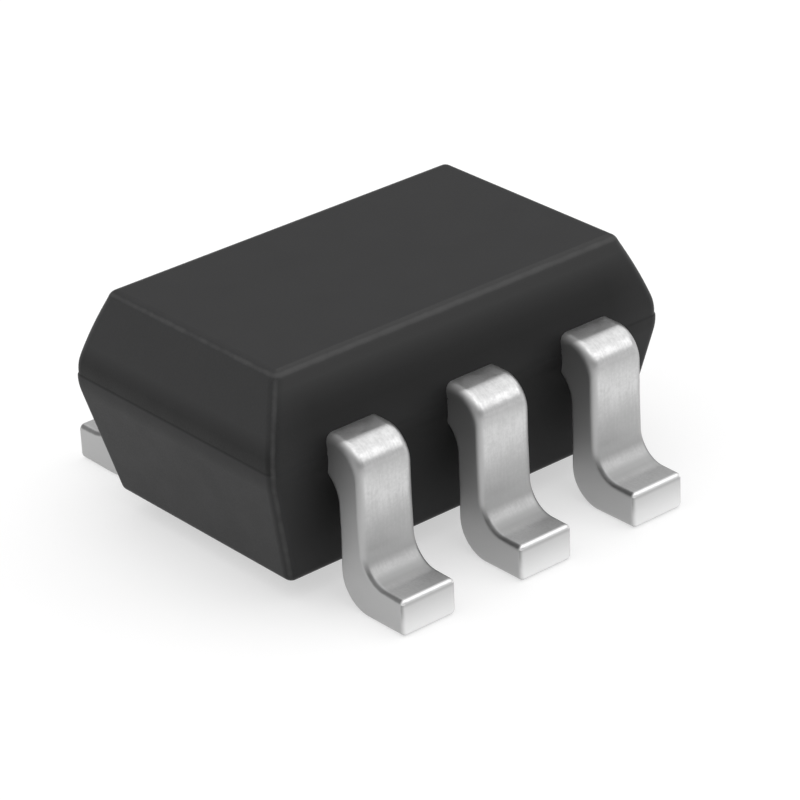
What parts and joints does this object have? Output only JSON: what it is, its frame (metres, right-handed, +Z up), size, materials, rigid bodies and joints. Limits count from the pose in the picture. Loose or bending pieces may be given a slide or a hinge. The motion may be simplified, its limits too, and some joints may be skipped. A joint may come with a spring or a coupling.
{
  "type": "operational amplifier chip",
  "caption": "Surface-mount operational amplifier: a drafted epoxy body on gull-wing leads along both long sides, with its die pad, die and bond wires inside.",
  "frame": {"origin": "on the board, in the plane of the undersides of the feet, under the middle of the body", "axes": "+Z up from the board; +X along the rows of leads; +Y across the body, from the row of lead_1 to lead_3 to the row of lead_4 to lead_6"},
  "size_m": [0.0022, 0.0022, 0.0011],
  "materials": {
    "mould_compound": "fine matt moulded epoxy, dark grey",
    "lead_plating": "satin tin plating over copper alloy strip, lightly drawn along the bends",
    "die_adhesive": "cured silver-filled adhesive",
    "silicon": "polished silicon with sawn edges",
    "bond_gold": "bare drawn gold wire"
  },
  "bodies": {
    "root": {"moulded_body": "mould_compound", "die_attach": "die_adhesive", "silicon_die": "silicon", "lead_1": "lead_plating", "lead_2": "lead_plating", "lead_3": "lead_plating", "lead_4": "lead_plating", "lead_5": "lead_plating", "lead_6": "lead_plating", "bond_wire_1": "bond_gold", "bond_wire_2": "bond_gold", "bond_wire_3": "bond_gold", "bond_wire_4": "bond_gold", "bond_wire_5": "bond_gold", "bond_wire_6": "bond_gold"}
  },
  "joints": []
}
